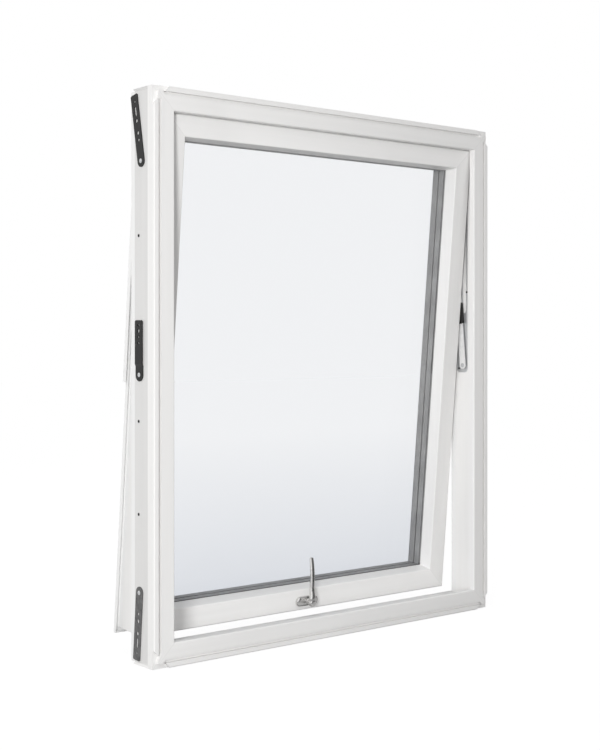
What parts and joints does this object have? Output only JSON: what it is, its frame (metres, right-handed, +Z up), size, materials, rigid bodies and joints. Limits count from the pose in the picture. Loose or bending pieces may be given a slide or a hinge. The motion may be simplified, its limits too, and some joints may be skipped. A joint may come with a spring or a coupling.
{
  "type": "top hung awning window",
  "caption": "Outward opening top hung window: white timber frame and sash clad in aluminium outside, sealed glass, side arms with top guides, lever handle and fixing straps.",
  "frame": {"origin": "centre of the sill's underside", "axes": "+X to the right seen from the room, +Y outwards, +Z up; the sash stands opened as in the picture"},
  "size_m": [0.988, 0.2088, 1.188],
  "materials": {
    "painted_timber": "satin white paint on planed softwood",
    "white_aluminium": "white powder coat",
    "clear_glass": "clear float glass",
    "spacer_grey": "matt dark grey edge spacer",
    "seal_rubber": "matt black seal",
    "satin_nickel": "satin nickel",
    "strap_steel": "dark coated steel",
    "zinc_steel": "bright zinc plate",
    "black_plastic": "matt black"
  },
  "bodies": {
    "frame": {"left_jamb": "painted_timber", "right_jamb": "painted_timber", "head": "painted_timber", "sill": "painted_timber", "left_jamb_cladding": "white_aluminium", "right_jamb_cladding": "white_aluminium", "head_cladding": "white_aluminium", "sill_cladding": "white_aluminium", "stop_gasket": "seal_rubber", "left_hinge_track": "zinc_steel", "left_top_strap": "strap_steel", "left_middle_strap": "strap_steel", "left_bottom_strap": "strap_steel", "right_hinge_track": "zinc_steel", "right_top_strap": "strap_steel", "right_middle_strap": "strap_steel", "right_bottom_strap": "strap_steel"},
    "left_arm": {"left_arm": "zinc_steel", "left_brake_block": "black_plastic"},
    "right_arm": {"right_arm": "zinc_steel", "right_brake_block": "black_plastic"},
    "sash": {"sash_left_stile": "painted_timber", "sash_right_stile": "painted_timber", "sash_top_rail": "painted_timber", "sash_bottom_rail": "painted_timber", "sash_left_stile_cladding": "white_aluminium", "sash_right_stile_cladding": "white_aluminium", "sash_top_rail_cladding": "white_aluminium", "sash_bottom_rail_cladding": "white_aluminium", "inner_pane": "clear_glass", "middle_pane": "clear_glass", "outer_pane": "clear_glass", "inner_spacer": "spacer_grey", "outer_spacer": "spacer_grey", "glazing_gasket": "seal_rubber", "lock_faceplate": "zinc_steel", "handle_rosette": "satin_nickel", "left_cover_strip": "white_aluminium", "left_sash_plate": "zinc_steel", "left_guide_shoe": "black_plastic", "right_cover_strip": "white_aluminium", "right_sash_plate": "zinc_steel", "right_guide_shoe": "black_plastic"},
    "handle": {"handle_lever": "satin_nickel"}
  },
  "joints": [
    {"name": "left_arm_swing", "type": "hinge", "parent": "frame", "child": "left_arm", "pos_m": [-0.4565, 0.003, 0.605], "axis": [-1, 0, 0], "range_deg": [-5.24, 69.76]},
    {"name": "sash_swing", "type": "hinge", "parent": "left_arm", "child": "sash", "pos_m": [-0.4565, 0.02713, 0.86815], "axis": [1, 0, 0], "range_deg": [-10.48, 139.52]},
    {"name": "right_arm_swing", "type": "hinge", "parent": "frame", "child": "right_arm", "pos_m": [0.4565, 0.003, 0.605], "axis": [-1, 0, 0], "range_deg": [-5.24, 69.76]},
    {"name": "handle_turn", "type": "hinge", "parent": "sash", "child": "handle", "pos_m": [0, 0.06836, 0.0628], "axis": [0, -0.9958, -0.0913], "range_deg": [-90, 0]}
  ],
  "couplings": [
    {"joint": "sash_swing", "follows": "left_arm_swing", "ratio": 2},
    {"joint": "right_arm_swing", "follows": "left_arm_swing", "ratio": 1}
  ]
}
